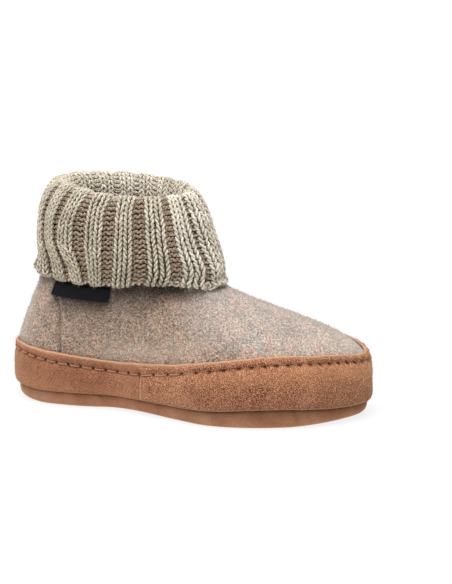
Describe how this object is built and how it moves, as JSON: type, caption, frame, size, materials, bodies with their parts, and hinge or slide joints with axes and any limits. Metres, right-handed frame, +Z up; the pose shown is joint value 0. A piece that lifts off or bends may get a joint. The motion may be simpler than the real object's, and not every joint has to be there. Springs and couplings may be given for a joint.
{
  "type": "wool slipper",
  "caption": "Child's ankle-high wool felt slipper with a ribbed knitted cuff turned down over the collar, a stitched suede rand around the foot and a soft flat sole.",
  "frame": {"origin": "middle of the slipper's box, at the floor under the sole", "axes": "+X from heel to toe, -Y towards the outer side of the foot, +Z up"},
  "size_m": [0.1814, 0.0734, 0.1119],
  "materials": {
    "sole_suede": "soft matt suede, worn a little smooth",
    "inner_felt": "plain wool felt",
    "felt": "heathered boiled wool felt with a short nap",
    "rand_suede": "napped tan suede with a sewn groove",
    "knit": "plated two by two rib of cream and brown wool yarn",
    "tab_weave": "plain dark woven tape, bare"
  },
  "bodies": {
    "root": {"outsole": "sole_suede", "insole": "inner_felt", "upper": "felt", "rand_toe": "rand_suede", "rand_heel": "rand_suede", "cuff": "knit", "label_tab": "tab_weave"}
  },
  "joints": []
}
